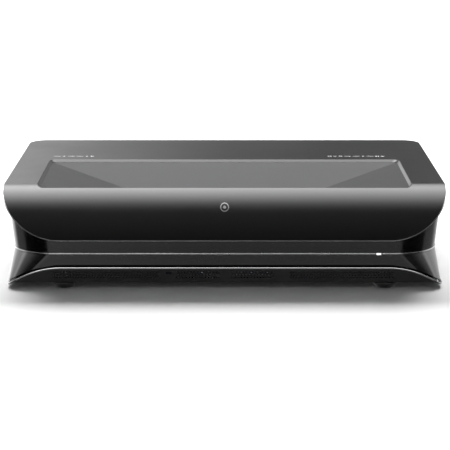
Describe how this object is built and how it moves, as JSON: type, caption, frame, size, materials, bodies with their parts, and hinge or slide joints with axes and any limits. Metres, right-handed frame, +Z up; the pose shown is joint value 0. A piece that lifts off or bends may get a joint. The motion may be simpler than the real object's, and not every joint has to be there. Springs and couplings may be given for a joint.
{
  "type": "ultra short throw home projector",
  "caption": "Low, wide laser home projector that throws from a sunken light well on its deck, with a rolled front, gloss bands, metal trims, fans and adjustable feet.",
  "frame": {"origin": "middle of the footprint, on the table top", "axes": "+X to the right seen from the front, +Y towards the wall that the picture is thrown on, +Z up"},
  "size_m": [0.6, 0.348, 0.145],
  "materials": {
    "cover_satin": "fine satin texture",
    "well_satin": "satin with fine cross ribs",
    "seal_rubber": "matt",
    "window_glass": "coated, polished",
    "dark_window": "smoked, polished",
    "trim_metal": "fine brushed",
    "gloss_black": "high gloss",
    "silver_strip": "bright satin",
    "bright_rim": "bright plated",
    "grille_black": "fine powder coat",
    "case_black": "fine spark texture",
    "light_lens": "clear, lit from behind",
    "circuit_board": "solder mask",
    "plated_steel": "zinc plated",
    "foot_rubber": "matt",
    "insert_brass": "machined",
    "heat_sink_metal": "extruded",
    "socket_metal": "nickel plated",
    "socket_plastic": "moulded",
    "cast_metal": "die cast",
    "barrel_black": "black anodised",
    "ring_metal": "machined",
    "optical_glass": "polished",
    "mirror_coat": "silvered",
    "laser_metal": "machined",
    "fan_plastic": "moulded"
  },
  "bodies": {
    "housing": {"upper_shell": "cover_satin", "light_well": "well_satin", "window_gasket": "seal_rubber", "exit_window": "window_glass", "eye_sensors": "dark_window", "upper_trim": "trim_metal", "front_upper_band": "gloss_black", "waist_strip": "silver_strip", "front_lower_band": "gloss_black", "lower_rim": "bright_rim", "chin_grille": "grille_black", "bottom_tray": "case_black", "left_side_grille": "grille_black", "right_side_grille": "grille_black", "rear_panel": "case_black", "port_plate": "case_black", "front_emblem": "silver_strip", "status_light": "light_lens", "remote_window": "dark_window", "key_board": "circuit_board", "rear_feet": "foot_rubber", "mount_inserts": "insert_brass", "case_screws": "plated_steel", "mainboard": "circuit_board", "processor_heat_sink": "heat_sink_metal", "hdmi_sockets": "socket_metal", "usb_sockets": "socket_metal", "lan_socket": "socket_metal", "optical_socket": "socket_plastic", "audio_jack": "socket_plastic", "mains_inlet": "socket_plastic", "power_supply": "circuit_board", "wireless_board": "circuit_board", "engine_base": "cast_metal", "lens_barrel": "barrel_black", "focus_motor": "plated_steel", "lens_elements": "optical_glass", "curved_mirror": "mirror_coat", "mirror_bracket": "cast_metal", "prism_block": "optical_glass", "imager_board": "circuit_board", "imager_heat_sink": "heat_sink_metal", "relay_tube": "barrel_black", "wheel_motor": "plated_steel", "laser_module": "laser_metal", "laser_heat_sink": "heat_sink_metal", "fan_frames": "fan_plastic", "speakers": "fan_plastic"},
    "power_key": {"power_button": "cover_satin"},
    "left_stud": {"front_left_stud": "plated_steel"},
    "left_pad": {"front_left_pad": "foot_rubber"},
    "right_stud": {"front_right_stud": "plated_steel"},
    "right_pad": {"front_right_pad": "foot_rubber"},
    "focus_ring": {"focus_ring": "ring_metal"},
    "focus_pinion": {"focus_pinion": "insert_brass"},
    "focus_cell": {"focus_cell": "barrel_black"},
    "diffuser_wheel": {"diffuser_wheel": "optical_glass"},
    "left_front_rotor": {"left_front_rotor": "fan_plastic"},
    "left_rear_rotor": {"left_rear_rotor": "fan_plastic"},
    "right_rotor": {"right_rotor": "fan_plastic"}
  },
  "joints": [
    {"name": "power_press", "type": "slide", "parent": "housing", "child": "power_key", "axis": [0, 0, -1], "range_m": [0, 0.0008], "stiffness_N_per_m": 600, "springref_m": -0.002},
    {"name": "left_foot_lift", "type": "slide", "parent": "housing", "child": "left_stud", "axis": [0, 0, -1], "range_m": [0, 0.008]},
    {"name": "left_foot_turn", "type": "hinge", "parent": "left_stud", "child": "left_pad", "pos_m": [-0.221, -0.144, 0], "axis": [0, 0, 1], "range_deg": [-1, 2305]},
    {"name": "right_foot_lift", "type": "slide", "parent": "housing", "child": "right_stud", "axis": [0, 0, -1], "range_m": [0, 0.008]},
    {"name": "right_foot_turn", "type": "hinge", "parent": "right_stud", "child": "right_pad", "pos_m": [0.221, -0.144, 0], "axis": [0, 0, 1], "range_deg": [-1, 2305]},
    {"name": "focus_turn", "type": "hinge", "parent": "housing", "child": "focus_ring", "pos_m": [0, -0.0035, 0.062], "axis": [0, 1, 0], "range_deg": [-30, 30]},
    {"name": "focus_pinion_turn", "type": "hinge", "parent": "housing", "child": "focus_pinion", "pos_m": [0.048, -0.0035, 0.062], "axis": [0, 1, 0], "range_deg": [-151, 151]},
    {"name": "focus_travel", "type": "slide", "parent": "housing", "child": "focus_cell", "axis": [0, 1, 0], "range_m": [-0.0041, 0.0041]},
    {"name": "wheel_spin", "type": "hinge", "parent": "housing", "child": "diffuser_wheel", "pos_m": [-0.124, 0.073, 0.082], "axis": [1, 0, 0], "continuous": true},
    {"name": "left_front_fan_spin", "type": "hinge", "parent": "housing", "child": "left_front_rotor", "pos_m": [-0.2705, 0.02, 0.051], "axis": [1, 0, 0], "continuous": true},
    {"name": "left_rear_fan_spin", "type": "hinge", "parent": "housing", "child": "left_rear_rotor", "pos_m": [-0.2705, 0.104, 0.051], "axis": [1, 0, 0], "continuous": true},
    {"name": "right_fan_spin", "type": "hinge", "parent": "housing", "child": "right_rotor", "pos_m": [0.2705, 0.06, 0.051], "axis": [1, 0, 0], "continuous": true}
  ],
  "couplings": [
    {"joint": "left_foot_turn", "follows": "left_foot_lift", "rad_per_m": 5026.5},
    {"joint": "right_foot_turn", "follows": "right_foot_lift", "rad_per_m": 5026.5},
    {"joint": "focus_pinion_turn", "follows": "focus_turn", "ratio": -5},
    {"joint": "focus_travel", "follows": "focus_turn", "m_per_rad": 0.0076394}
  ]
}
